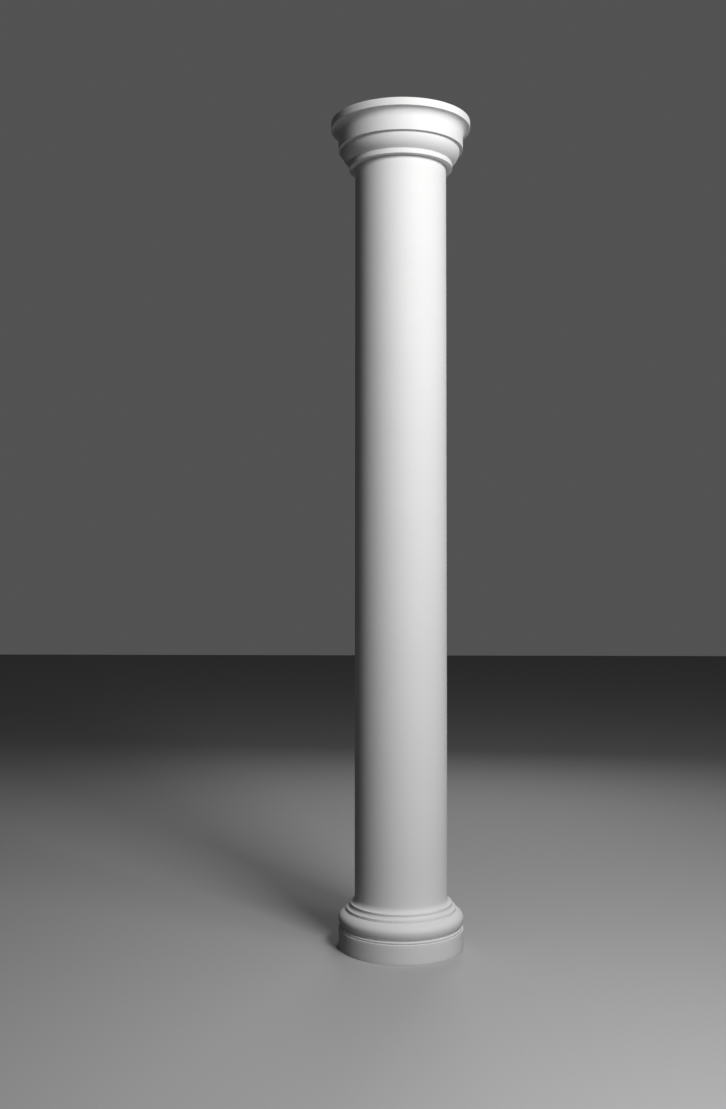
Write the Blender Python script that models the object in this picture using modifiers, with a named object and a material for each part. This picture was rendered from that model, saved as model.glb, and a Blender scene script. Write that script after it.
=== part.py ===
"""A round white column in four turned pieces: plinth, base, shaft and capital.

Metres, +Z up. The origin is the centre of the underside. Each outline is drawn as
(radius, height above the piece's own foot) and runs from the top of the axis down
the outer side to the foot of the axis.
"""

import math

import bpy

# Whole column
COLUMN_HEIGHT = 2.400
JOINT_GAP = 0.0003

# Shaft: a plain tapered drum that flares to a thin lip at its foot
SHAFT_FOOT_RADIUS = 0.1346
SHAFT_TAPER = 0.0016
FLARE_PROJECTION = 0.0117
FLARE_HEIGHT = 0.0160
LIP_PROJECTION = 0.0015
LIP_HEIGHT = 0.0044

# Base: a thin bead, a large torus that dies into a thin edge, and a hollow up to the shaft
BASE_TOP_SETBACK = 0.0010
BASE_HOLLOW_HEIGHT = 0.0093
EDGE_PROJECTION = 0.0112
EDGE_HEIGHT = 0.0066
TORUS_PROJECTION = 0.0225
TORUS_HEIGHT = 0.0484
TORUS_TUCK = 0.0120
TORUS_UNDERCUT = 0.0150
TORUS_SINK = 0.0015
BEAD_SETBACK = 0.0020
BEAD_HEIGHT = 0.0052
BEAD_SWELL = 0.0015
BEAD_FOOT_HEIGHT = 0.0012

# Plinth: a plain round drum, flush with the torus
PLINTH_HEIGHT = 0.0550
PLINTH_EDGE_ROUND = 0.0012

# Capital: a ring over the shaft, the echinus, a plain band, a hollow and the crowning fillet
RING_PROJECTION = 0.0180
RING_HEIGHT = 0.0137
ECHINUS_FOOT_SETBACK = 0.0060
ECHINUS_PROJECTION = 0.0282
ECHINUS_HEIGHT = 0.0408
ECHINUS_SWELL = 0.0070
BAND_PROJECTION = 0.0090
BAND_HEIGHT = 0.0370
CAPITAL_HOLLOW_PROJECTION = 0.0203
CAPITAL_HOLLOW_HEIGHT = 0.0235
CROWN_PROJECTION = 0.0010
CROWN_HEIGHT = 0.0218
CROWN_EDGE_ROUND = 0.0015

# Radii that follow, each from the one it stands on or under
SHAFT_TOP_RADIUS = SHAFT_FOOT_RADIUS - SHAFT_TAPER
FLARE_RADIUS = SHAFT_FOOT_RADIUS + FLARE_PROJECTION
LIP_RADIUS = FLARE_RADIUS + LIP_PROJECTION
BASE_TOP_RADIUS = LIP_RADIUS - BASE_TOP_SETBACK
EDGE_RADIUS = LIP_RADIUS + EDGE_PROJECTION
TORUS_RADIUS = EDGE_RADIUS + TORUS_PROJECTION
BEAD_FOOT_RADIUS = TORUS_RADIUS - BEAD_SETBACK - BEAD_SWELL
PLINTH_RADIUS = TORUS_RADIUS
RING_RADIUS = SHAFT_TOP_RADIUS + RING_PROJECTION
ECHINUS_FOOT_RADIUS = RING_RADIUS - ECHINUS_FOOT_SETBACK
ECHINUS_TOP_RADIUS = ECHINUS_FOOT_RADIUS + ECHINUS_PROJECTION
BAND_RADIUS = ECHINUS_TOP_RADIUS + BAND_PROJECTION
CAPITAL_HOLLOW_RADIUS = BAND_RADIUS + CAPITAL_HOLLOW_PROJECTION
CROWN_RADIUS = CAPITAL_HOLLOW_RADIUS + CROWN_PROJECTION

# How finely curves are cut
TURN_STEPS = 64
LARGE_CURVE_STEPS = 6
SMALL_CURVE_STEPS = 3
SHARP_ANGLE = math.radians(25)

PLASTER_ROUGHNESS = 0.62
PLINTH_WHITE = (0.78, 0.78, 0.77, 1.0)
BASE_WHITE = (0.79, 0.79, 0.78, 1.0)
SHAFT_WHITE = (0.80, 0.80, 0.79, 1.0)
CAPITAL_WHITE = (0.81, 0.81, 0.80, 1.0)


def clear_scene():
    for obj in list(bpy.data.objects):
        bpy.data.objects.remove(obj, do_unlink=True)


def quarter(start, end, level_first, steps, begin=0.0, finish=math.pi / 2):
    """A quarter ellipse from start to end, leaving start level if level_first and upright if not.

    Only the part between the turns begin and finish is kept.
    """
    points = []
    for i in range(steps + 1):
        turn = begin + (finish - begin) * i / steps
        early, late = 1 - math.cos(turn), math.sin(turn)
        across, down = (late, early) if level_first else (early, late)
        radius = start[0] + (end[0] - start[0]) * across
        height = start[1] + (end[1] - start[1]) * down
        points.append((radius, height))
    return points


def bowed(start, end, swell, steps):
    """A circle arc down from start to end whose middle stands out from the straight line by swell."""
    across, down = end[0] - start[0], end[1] - start[1]
    length = math.hypot(across, down)
    half_angle = 2 * math.atan(2 * swell / length)
    arc_radius = length / 2 / math.sin(half_angle)
    points = []
    for i in range(steps + 1):
        turn = half_angle * (2 * i / steps - 1)
        along = 0.5 + arc_radius * math.sin(turn) / length
        out = arc_radius * (math.cos(turn) - math.cos(half_angle))
        radius = start[0] + across * along - out * down / length
        height = start[1] + down * along + out * across / length
        points.append((radius, height))
    return points


def plinth_outline():
    rounded = PLINTH_EDGE_ROUND
    edge = quarter(
        (PLINTH_RADIUS - rounded, PLINTH_HEIGHT),
        (PLINTH_RADIUS, PLINTH_HEIGHT - rounded),
        True,
        SMALL_CURVE_STEPS,
    )
    return [(0, PLINTH_HEIGHT), *edge, (PLINTH_RADIUS, 0), (0, 0)]


def base_height():
    bead_top = BEAD_FOOT_HEIGHT + BEAD_HEIGHT
    return bead_top - TORUS_SINK + TORUS_HEIGHT + EDGE_HEIGHT + BASE_HOLLOW_HEIGHT


def base_outline():
    top = base_height()
    edge_top = top - BASE_HOLLOW_HEIGHT
    torus_top = edge_top - EDGE_HEIGHT
    bead_top = BEAD_FOOT_HEIGHT + BEAD_HEIGHT
    torus_foot = bead_top - TORUS_SINK
    torus_middle = (torus_top + torus_foot) / 2
    torus_inner = EDGE_RADIUS - TORUS_TUCK
    leaves_edge = math.asin(TORUS_TUCK / (TORUS_RADIUS - torus_inner))
    meets_bead = math.asin(1 - 2 * TORUS_SINK / TORUS_HEIGHT)
    hollow = quarter((BASE_TOP_RADIUS, top), (EDGE_RADIUS, edge_top), False, LARGE_CURVE_STEPS)
    upper_torus = quarter(
        (torus_inner, torus_top),
        (TORUS_RADIUS, torus_middle),
        True,
        LARGE_CURVE_STEPS,
        begin=leaves_edge,
    )
    lower_torus = quarter(
        (TORUS_RADIUS, torus_middle),
        (TORUS_RADIUS - TORUS_UNDERCUT, torus_foot),
        False,
        LARGE_CURVE_STEPS,
        finish=meets_bead,
    )
    bead = bowed(
        (BEAD_FOOT_RADIUS, bead_top),
        (BEAD_FOOT_RADIUS, BEAD_FOOT_HEIGHT),
        BEAD_SWELL,
        SMALL_CURVE_STEPS,
    )
    return [
        (0, top),
        *hollow,
        *upper_torus,
        *lower_torus[1:],
        *bead,
        (BEAD_FOOT_RADIUS, 0),
        (0, 0),
    ]


def shaft_outline(length):
    flare_top = LIP_HEIGHT + FLARE_HEIGHT
    flare = quarter(
        (SHAFT_FOOT_RADIUS, flare_top), (FLARE_RADIUS, LIP_HEIGHT), False, LARGE_CURVE_STEPS
    )
    return [
        (0, length),
        (SHAFT_TOP_RADIUS, length),
        *flare,
        (LIP_RADIUS, LIP_HEIGHT),
        (LIP_RADIUS, 0),
        (0, 0),
    ]


def capital_height():
    return RING_HEIGHT + ECHINUS_HEIGHT + BAND_HEIGHT + CAPITAL_HOLLOW_HEIGHT + CROWN_HEIGHT


def capital_outline():
    top = capital_height()
    crown_foot = top - CROWN_HEIGHT
    band_top = crown_foot - CAPITAL_HOLLOW_HEIGHT
    band_foot = band_top - BAND_HEIGHT
    rounded = CROWN_EDGE_ROUND
    crown_edge = quarter(
        (CROWN_RADIUS - rounded, top), (CROWN_RADIUS, top - rounded), True, SMALL_CURVE_STEPS
    )
    hollow = quarter(
        (CAPITAL_HOLLOW_RADIUS, crown_foot), (BAND_RADIUS, band_top), True, LARGE_CURVE_STEPS
    )
    echinus = bowed(
        (ECHINUS_TOP_RADIUS, band_foot),
        (ECHINUS_FOOT_RADIUS, RING_HEIGHT),
        ECHINUS_SWELL,
        LARGE_CURVE_STEPS,
    )
    return [
        (0, top),
        *crown_edge,
        (CROWN_RADIUS, crown_foot),
        *hollow,
        (BAND_RADIUS, band_foot),
        *echinus,
        (RING_RADIUS, RING_HEIGHT),
        (RING_RADIUS, 0),
        (0, 0),
    ]


def turned_mesh(name, outline):
    """The closed mesh of an outline turned once about the Z axis, smooth but for its edges."""
    points = [(radius, 0, height) for radius, height in outline]
    edges = [(i, i + 1) for i in range(len(points) - 1)]
    profile = bpy.data.meshes.new(name + " profile")
    profile.from_pydata(points, edges, [])
    guide = bpy.data.objects.new(name + " profile", profile)
    bpy.context.scene.collection.objects.link(guide)
    screw = guide.modifiers.new("turn", "SCREW")
    screw.steps = TURN_STEPS
    screw.render_steps = TURN_STEPS
    screw.use_merge_vertices = True
    screw.merge_threshold = 0.00001
    graph = bpy.context.evaluated_depsgraph_get()
    mesh = bpy.data.meshes.new_from_object(guide.evaluated_get(graph))
    bpy.data.objects.remove(guide, do_unlink=True)
    bpy.data.meshes.remove(profile)
    mesh.name = name
    mesh.shade_smooth()
    mesh.set_sharp_from_angle(angle=SHARP_ANGLE)
    return mesh


def plaster(name, colour):
    """Matt white cast plaster."""
    material = bpy.data.materials.new(name)
    material.use_nodes = True
    shader = material.node_tree.nodes["Principled BSDF"]
    shader.inputs["Base Color"].default_value = colour
    shader.inputs["Roughness"].default_value = PLASTER_ROUGHNESS
    shader.inputs["Metallic"].default_value = 0.0
    return material


def add_piece(collection, parent, name, outline, foot, colour):
    obj = bpy.data.objects.new(name, turned_mesh(name, outline))
    obj.data.materials.append(plaster(name + " plaster", colour))
    obj.parent = parent
    obj.location.z = foot
    collection.objects.link(obj)


def build_column():
    collection = bpy.data.collections.new("column")
    bpy.context.scene.collection.children.link(collection)
    centre = bpy.data.objects.new("column centre", None)
    collection.objects.link(centre)

    base_foot = PLINTH_HEIGHT + JOINT_GAP
    shaft_foot = base_foot + base_height() + JOINT_GAP
    capital_foot = COLUMN_HEIGHT - capital_height()
    shaft_length = capital_foot - JOINT_GAP - shaft_foot

    add_piece(collection, centre, "plinth", plinth_outline(), 0, PLINTH_WHITE)
    add_piece(collection, centre, "base", base_outline(), base_foot, BASE_WHITE)
    add_piece(collection, centre, "shaft", shaft_outline(shaft_length), shaft_foot, SHAFT_WHITE)
    add_piece(collection, centre, "capital", capital_outline(), capital_foot, CAPITAL_WHITE)


clear_scene()
build_column()
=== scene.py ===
"""The looks of a round white column: finely turned plaster pieces, a pale floor and soft lights.

Metres, +Z up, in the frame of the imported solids. Outlines are (radius, height) and run
from the top of the axis down the outer side to the foot of the axis.
"""

import math

import bpy
import numpy as np
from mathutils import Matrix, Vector, noise


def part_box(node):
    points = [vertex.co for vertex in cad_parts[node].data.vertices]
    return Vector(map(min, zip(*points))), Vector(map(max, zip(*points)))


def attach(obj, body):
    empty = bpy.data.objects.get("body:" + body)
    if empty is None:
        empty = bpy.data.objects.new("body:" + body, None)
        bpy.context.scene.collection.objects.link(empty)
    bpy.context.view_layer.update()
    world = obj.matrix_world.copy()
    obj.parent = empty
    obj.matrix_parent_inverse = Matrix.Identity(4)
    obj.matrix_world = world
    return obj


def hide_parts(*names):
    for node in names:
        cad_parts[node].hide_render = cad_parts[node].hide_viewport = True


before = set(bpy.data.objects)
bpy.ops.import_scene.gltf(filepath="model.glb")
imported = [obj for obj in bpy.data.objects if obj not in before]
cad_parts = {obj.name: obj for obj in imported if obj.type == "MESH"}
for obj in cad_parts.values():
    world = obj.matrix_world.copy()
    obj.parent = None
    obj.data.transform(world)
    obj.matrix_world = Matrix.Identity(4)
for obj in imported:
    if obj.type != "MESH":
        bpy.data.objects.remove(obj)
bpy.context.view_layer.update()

# Shaft
SHAFT_FOOT_RADIUS = 0.1346
SHAFT_TAPER = 0.0016
FLARE_PROJECTION = 0.0117
FLARE_HEIGHT = 0.0160
LIP_PROJECTION = 0.0015
LIP_HEIGHT = 0.0044

# Base
BASE_TOP_SETBACK = 0.0010
EDGE_PROJECTION = 0.0112
EDGE_HEIGHT = 0.0066
TORUS_PROJECTION = 0.0225
TORUS_HEIGHT = 0.0484
TORUS_TUCK = 0.0120
TORUS_UNDERCUT = 0.0150
TORUS_SINK = 0.0015
BEAD_SETBACK = 0.0020
BEAD_HEIGHT = 0.0052
BEAD_SWELL = 0.0015
BEAD_FOOT_HEIGHT = 0.0012

# Plinth
PLINTH_EDGE_ROUND = 0.0012

# Capital
RING_PROJECTION = 0.0180
RING_HEIGHT = 0.0137
ECHINUS_FOOT_SETBACK = 0.0060
ECHINUS_PROJECTION = 0.0282
ECHINUS_SWELL = 0.0070
BAND_PROJECTION = 0.0090
BAND_HEIGHT = 0.0370
CAPITAL_HOLLOW_PROJECTION = 0.0203
CAPITAL_HOLLOW_HEIGHT = 0.0235
CROWN_PROJECTION = 0.0010
CROWN_HEIGHT = 0.0218
CROWN_EDGE_ROUND = 0.0015

# Radii that follow, each from the one it stands on or under
SHAFT_TOP_RADIUS = SHAFT_FOOT_RADIUS - SHAFT_TAPER
FLARE_RADIUS = SHAFT_FOOT_RADIUS + FLARE_PROJECTION
LIP_RADIUS = FLARE_RADIUS + LIP_PROJECTION
BASE_TOP_RADIUS = LIP_RADIUS - BASE_TOP_SETBACK
EDGE_RADIUS = LIP_RADIUS + EDGE_PROJECTION
TORUS_RADIUS = EDGE_RADIUS + TORUS_PROJECTION
BEAD_FOOT_RADIUS = TORUS_RADIUS - BEAD_SETBACK - BEAD_SWELL
PLINTH_RADIUS = TORUS_RADIUS
RING_RADIUS = SHAFT_TOP_RADIUS + RING_PROJECTION
ECHINUS_FOOT_RADIUS = RING_RADIUS - ECHINUS_FOOT_SETBACK
ECHINUS_TOP_RADIUS = ECHINUS_FOOT_RADIUS + ECHINUS_PROJECTION
BAND_RADIUS = ECHINUS_TOP_RADIUS + BAND_PROJECTION
CAPITAL_HOLLOW_RADIUS = BAND_RADIUS + CAPITAL_HOLLOW_PROJECTION
CROWN_RADIUS = CAPITAL_HOLLOW_RADIUS + CROWN_PROJECTION

# How the outlines are softened and cut
SAMPLE_STEP = 0.00025
EDGE_SOFTNESS = 0.0005
SOFTNESS_REACH = 3
CURVE_STEPS = 32
MOST_TURN = math.radians(6)
LONGEST_STEP = 0.009
TURN_STEPS = 256

# The unevenness that a cast and rubbed surface keeps
BROAD_RELIEF = 0.00012
BROAD_SCALE = 7.0
BROAD_RISE = 0.6
FINE_RELIEF = 0.00004
FINE_SCALE = 42.0

# Plaster: the noise scales count waves for each metre
NOISE_LOW, NOISE_HIGH = 0.3, 0.7
DARKER_PLASTER = (0.775, 0.775, 0.772, 1)
LIGHTER_PLASTER = (0.815, 0.815, 0.813, 1)
PATCH_SCALE, PATCH_SHARE = 5.0, 0.7
FLECK_SCALE, FLECK_SHARE = 330.0, 0.3
SHEEN_SCALE = 28.0
LEAST_ROUGHNESS, MOST_ROUGHNESS = 0.60, 0.78
PLASTER_SPECULAR = 0.30
CAST_SCALE, CAST_DEPTH = 150.0, 0.00022
PORE_SCALE, PORE_DEPTH = 620.0, 0.00009

# Studio
STUDIO_SPECULAR = 0.1
FLOOR_HALF_SIDE = 40.0
FLOOR_TONE = 0.50
FLOOR_ROUGHNESS = 0.9
BACKDROP_DISTANCE = 12.0
BACKDROP_HALF_WIDTH = 20.0
BACKDROP_HEIGHT = 12.0
BACKDROP_GLOW = 0.085
ROOM_GLOW = 0.035

# Each light's name, place, target, side and power in watts
LIGHTS = [
    ("key", (1.17, -2.03, 2.90), (0, 0, 1.00), 0.8, 55),
    ("side", (1.90, -1.45, 2.60), (0, 0, 1.00), 0.8, 13),
    ("low fill", (1.05, -2.40, 0.80), (0, 0, 0.30), 0.8, 13),
    ("back fill", (0.40, 2.80, 2.40), (0, 0, 1.20), 1.0, 20),
]

# Camera
LENS = 38.98
SENSOR_WIDTH = 36.0
CAMERA_PLACE = (0, -3.509, 1.088)
CAMERA_TILT = math.radians(90.786)
CAMERA_TURN = math.radians(1.80)


def quarter(start, end, level_first, begin=0.0, finish=math.pi / 2):
    """A quarter ellipse from start to end, leaving start level if level_first and upright if not.

    Only the part between the turns begin and finish is kept.
    """
    turn = np.linspace(begin, finish, CURVE_STEPS + 1)
    early, late = 1 - np.cos(turn), np.sin(turn)
    across, down = (late, early) if level_first else (early, late)
    radius = start[0] + (end[0] - start[0]) * across
    height = start[1] + (end[1] - start[1]) * down
    return list(zip(radius, height))


def bowed(start, end, swell):
    """A circle arc down from start to end, its middle out from the straight line by swell."""
    across, down = end[0] - start[0], end[1] - start[1]
    length = math.hypot(across, down)
    half_angle = 2 * math.atan(2 * swell / length)
    arc_radius = length / 2 / math.sin(half_angle)
    turn = np.linspace(-half_angle, half_angle, CURVE_STEPS + 1)
    along = 0.5 + arc_radius * np.sin(turn) / length
    out = arc_radius * (np.cos(turn) - math.cos(half_angle))
    radius = start[0] + across * along - out * down / length
    height = start[1] + down * along + out * across / length
    return list(zip(radius, height))


def plinth_outline(foot, top):
    edge = quarter(
        (PLINTH_RADIUS - PLINTH_EDGE_ROUND, top), (PLINTH_RADIUS, top - PLINTH_EDGE_ROUND), True
    )
    return [(0, top), *edge, (PLINTH_RADIUS, foot), (0, foot)]


def base_outline(foot, top):
    bead_foot = foot + BEAD_FOOT_HEIGHT
    bead_top = bead_foot + BEAD_HEIGHT
    torus_foot = bead_top - TORUS_SINK
    torus_top = torus_foot + TORUS_HEIGHT
    torus_middle = (torus_foot + torus_top) / 2
    torus_inner = EDGE_RADIUS - TORUS_TUCK
    edge_top = torus_top + EDGE_HEIGHT
    leaves_edge = math.asin(TORUS_TUCK / (TORUS_RADIUS - torus_inner))
    meets_bead = math.asin(1 - 2 * TORUS_SINK / TORUS_HEIGHT)
    return [
        (0, top),
        *quarter((BASE_TOP_RADIUS, top), (EDGE_RADIUS, edge_top), False),
        *quarter((torus_inner, torus_top), (TORUS_RADIUS, torus_middle), True, begin=leaves_edge),
        *quarter(
            (TORUS_RADIUS, torus_middle),
            (TORUS_RADIUS - TORUS_UNDERCUT, torus_foot),
            False,
            finish=meets_bead,
        ),
        *bowed((BEAD_FOOT_RADIUS, bead_top), (BEAD_FOOT_RADIUS, bead_foot), BEAD_SWELL),
        (BEAD_FOOT_RADIUS, foot),
        (0, foot),
    ]


def shaft_outline(foot, top):
    lip_top = foot + LIP_HEIGHT
    return [
        (0, top),
        (SHAFT_TOP_RADIUS, top),
        *quarter((SHAFT_FOOT_RADIUS, lip_top + FLARE_HEIGHT), (FLARE_RADIUS, lip_top), False),
        (LIP_RADIUS, lip_top),
        (LIP_RADIUS, foot),
        (0, foot),
    ]


def capital_outline(foot, top):
    crown_foot = top - CROWN_HEIGHT
    band_top = crown_foot - CAPITAL_HOLLOW_HEIGHT
    band_foot = band_top - BAND_HEIGHT
    ring_top = foot + RING_HEIGHT
    edge = quarter(
        (CROWN_RADIUS - CROWN_EDGE_ROUND, top), (CROWN_RADIUS, top - CROWN_EDGE_ROUND), True
    )
    return [
        (0, top),
        *edge,
        (CROWN_RADIUS, crown_foot),
        *quarter((CAPITAL_HOLLOW_RADIUS, crown_foot), (BAND_RADIUS, band_top), True),
        (BAND_RADIUS, band_foot),
        *bowed((ECHINUS_TOP_RADIUS, band_foot), (ECHINUS_FOOT_RADIUS, ring_top), ECHINUS_SWELL),
        (RING_RADIUS, ring_top),
        (RING_RADIUS, foot),
        (0, foot),
    ]


def softened(outline):
    """The outline with its arrises and corners rounded, as paint and rubbing leave them."""
    points = np.array(outline, float)
    along = np.concatenate([[0], np.cumsum(np.hypot(*np.diff(points, axis=0).T))])
    places = np.arange(0, along[-1], SAMPLE_STEP)
    dense = np.stack([np.interp(places, along, column) for column in points.T], 1)
    reach = int(SOFTNESS_REACH * EDGE_SOFTNESS / SAMPLE_STEP)
    window = np.exp(-0.5 * (np.arange(-reach, reach + 1) * SAMPLE_STEP / EDGE_SOFTNESS) ** 2)
    window /= window.sum()
    before, after = np.repeat(dense[:1], reach, 0), np.repeat(dense[-1:], reach, 0)
    padded = np.concatenate([before, dense, after])
    smooth = np.stack([np.convolve(column, window, "valid") for column in padded.T], 1)
    smooth[0], smooth[-1] = points[0], points[-1]
    return smooth


def thinned(points):
    """The points that the outline needs: close where it turns, far apart where it is straight."""
    steps = np.diff(points, axis=0)
    heading = np.unwrap(np.arctan2(steps[:, 1], steps[:, 0]))
    kept, travelled = [0], 0.0
    for i in range(1, len(points) - 1):
        travelled += float(np.hypot(*steps[i - 1]))
        if abs(heading[i] - heading[kept[-1]]) > MOST_TURN or travelled > LONGEST_STEP:
            kept.append(i)
            travelled = 0.0
    return points[kept + [len(points) - 1]]


def relief(x, y, z):
    """How far the surface stands out from the true turned form at a point."""
    broad = noise.noise(Vector((x, y, z * BROAD_RISE)) * BROAD_SCALE)
    fine = noise.noise(Vector((x, y, z)) * FINE_SCALE)
    return BROAD_RELIEF * broad + FINE_RELIEF * fine


def turned(name, outline):
    """A closed mesh object: the outline turned once about the Z axis."""
    rings = thinned(softened(outline))
    (_, top), (_, foot) = rings[0], rings[-1]
    rings = rings[1:-1]
    angles = np.linspace(0, 2 * math.pi, TURN_STEPS, endpoint=False)
    verts = []
    for radius, height in rings:
        for angle in angles:
            x, y = math.cos(angle), math.sin(angle)
            out = radius + relief(radius * x, radius * y, height)
            verts.append((out * x, out * y, height))
    top_point, foot_point = len(verts), len(verts) + 1
    verts += [(0, 0, top), (0, 0, foot)]
    faces = []
    for j in range(TURN_STEPS):
        k = (j + 1) % TURN_STEPS
        faces.append((top_point, j, k))
        for i in range(len(rings) - 1):
            upper, lower = i * TURN_STEPS, (i + 1) * TURN_STEPS
            faces.append((upper + j, lower + j, lower + k, upper + k))
        last = (len(rings) - 1) * TURN_STEPS
        faces.append((foot_point, last + k, last + j))
    mesh = bpy.data.meshes.new(name)
    mesh.from_pydata(verts, [], faces)
    mesh.shade_smooth()
    obj = bpy.data.objects.new(name, mesh)
    bpy.context.scene.collection.objects.link(obj)
    return obj


def plaster():
    """Matt white plaster: faint tone patches, a fine cast grain and a rubbed, uneven sheen."""
    material = bpy.data.materials.new("plaster")
    material.use_nodes = True
    nodes, links = material.node_tree.nodes, material.node_tree.links
    shader = nodes["Principled BSDF"]
    shader.inputs["Specular IOR Level"].default_value = PLASTER_SPECULAR

    coordinates = nodes.new("ShaderNodeTexCoord")

    def grain(scale, detail, roughness):
        texture = nodes.new("ShaderNodeTexNoise")
        texture.inputs["Scale"].default_value = scale
        texture.inputs["Detail"].default_value = detail
        texture.inputs["Roughness"].default_value = roughness
        links.new(coordinates.outputs["Object"], texture.inputs["Vector"])
        return texture.outputs["Fac"]

    def spread(source, low, high):
        remap = nodes.new("ShaderNodeMapRange")
        remap.inputs["From Min"].default_value = NOISE_LOW
        remap.inputs["From Max"].default_value = NOISE_HIGH
        remap.inputs["To Min"].default_value = low
        remap.inputs["To Max"].default_value = high
        links.new(source, remap.inputs["Value"])
        return remap.outputs["Result"]

    def bump(source, depth):
        node = nodes.new("ShaderNodeBump")
        node.inputs["Strength"].default_value = 1.0
        node.inputs["Distance"].default_value = depth
        links.new(source, node.inputs["Height"])
        return node

    patches = spread(grain(PATCH_SCALE, 3.0, 0.5), 0.0, PATCH_SHARE)
    flecks = spread(grain(FLECK_SCALE, 2.0, 0.6), 0.0, FLECK_SHARE)
    tone = nodes.new("ShaderNodeMath")
    tone.operation = "ADD"
    links.new(patches, tone.inputs[0])
    links.new(flecks, tone.inputs[1])
    colour = nodes.new("ShaderNodeMix")
    colour.data_type = "RGBA"
    colour.inputs["A"].default_value = DARKER_PLASTER
    colour.inputs["B"].default_value = LIGHTER_PLASTER
    links.new(tone.outputs["Value"], colour.inputs["Factor"])
    links.new(colour.outputs["Result"], shader.inputs["Base Color"])

    sheen = spread(grain(SHEEN_SCALE, 4.0, 0.55), LEAST_ROUGHNESS, MOST_ROUGHNESS)
    links.new(sheen, shader.inputs["Roughness"])

    cast = bump(grain(CAST_SCALE, 2.0, 0.5), CAST_DEPTH)
    pores = bump(grain(PORE_SCALE, 2.0, 0.6), PORE_DEPTH)
    links.new(cast.outputs["Normal"], pores.inputs["Normal"])
    links.new(pores.outputs["Normal"], shader.inputs["Normal"])
    return material


def studio_material(name, tone, roughness):
    """A plain grey surface of the studio."""
    material = bpy.data.materials.new(name)
    material.use_nodes = True
    shader = material.node_tree.nodes["Principled BSDF"]
    shader.inputs["Base Color"].default_value = (tone, tone, tone, 1)
    shader.inputs["Roughness"].default_value = roughness
    shader.inputs["Specular IOR Level"].default_value = STUDIO_SPECULAR
    return material


def flat_sheet(name, corners, material):
    """A four-cornered object that throws no diffuse light on the column."""
    mesh = bpy.data.meshes.new(name)
    mesh.from_pydata(corners, [], [(0, 1, 2, 3)])
    mesh.materials.append(material)
    sheet = bpy.data.objects.new(name, mesh)
    bpy.context.scene.collection.objects.link(sheet)
    sheet.visible_diffuse = False
    return sheet


def build_floor():
    """A plain pale floor that throws no light back up at the mouldings."""
    side = FLOOR_HALF_SIDE
    corners = [(-side, -side, 0), (side, -side, 0), (side, side, 0), (-side, side, 0)]
    material = studio_material("floor", FLOOR_TONE, FLOOR_ROUGHNESS)
    floor = flat_sheet("floor", corners, material)


def build_backdrop():
    """A plain grey backdrop, evenly bright, that throws no light on the column."""
    side, far, height = BACKDROP_HALF_WIDTH, BACKDROP_DISTANCE, BACKDROP_HEIGHT
    corners = [(-side, far, 0), (side, far, 0), (side, far, height), (-side, far, height)]
    material = studio_material("backdrop", 0.0, 1.0)
    shader = material.node_tree.nodes["Principled BSDF"]
    shader.inputs["Emission Color"].default_value = (1, 1, 1, 1)
    shader.inputs["Emission Strength"].default_value = BACKDROP_GLOW
    backdrop = flat_sheet("backdrop", corners, material)
    backdrop.visible_glossy = False


def area_light(name, place, target, size, power):
    """A square soft light of the given side, aimed at the target."""
    data = bpy.data.lights.new(name, "AREA")
    data.size = size
    data.energy = power
    light = bpy.data.objects.new(name, data)
    light.location = place
    light.rotation_euler = (Vector(target) - Vector(place)).to_track_quat("-Z", "Y").to_euler()
    light.visible_camera = False
    bpy.context.scene.collection.objects.link(light)


def build_lights():
    for light in LIGHTS:
        area_light(*light)
    world = bpy.data.worlds.new("studio")
    world.use_nodes = True
    background = world.node_tree.nodes["Background"]
    background.inputs["Color"].default_value = (1, 1, 1, 1)
    background.inputs["Strength"].default_value = ROOM_GLOW
    bpy.context.scene.world = world


def build_camera():
    data = bpy.data.cameras.new("camera")
    data.sensor_width = SENSOR_WIDTH
    data.lens = LENS
    data.clip_start = 0.05
    data.clip_end = 200.0
    camera = bpy.data.objects.new("camera", data)
    camera.location = CAMERA_PLACE
    camera.rotation_euler = (CAMERA_TILT, 0, CAMERA_TURN)
    bpy.context.scene.collection.objects.link(camera)
    bpy.context.scene.camera = camera


OUTLINES = {
    "plinth": plinth_outline,
    "base": base_outline,
    "shaft": shaft_outline,
    "capital": capital_outline,
}

bpy.context.scene.view_settings.view_transform = "Standard"
build_camera()
build_floor()
build_backdrop()
build_lights()
surface = plaster()
for node, outline in OUTLINES.items():
    low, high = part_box(node)
    piece = turned(node + "_surface", outline(low.z, high.z))
    piece.data.materials.append(surface)
    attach(piece, "root")
    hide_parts(node)
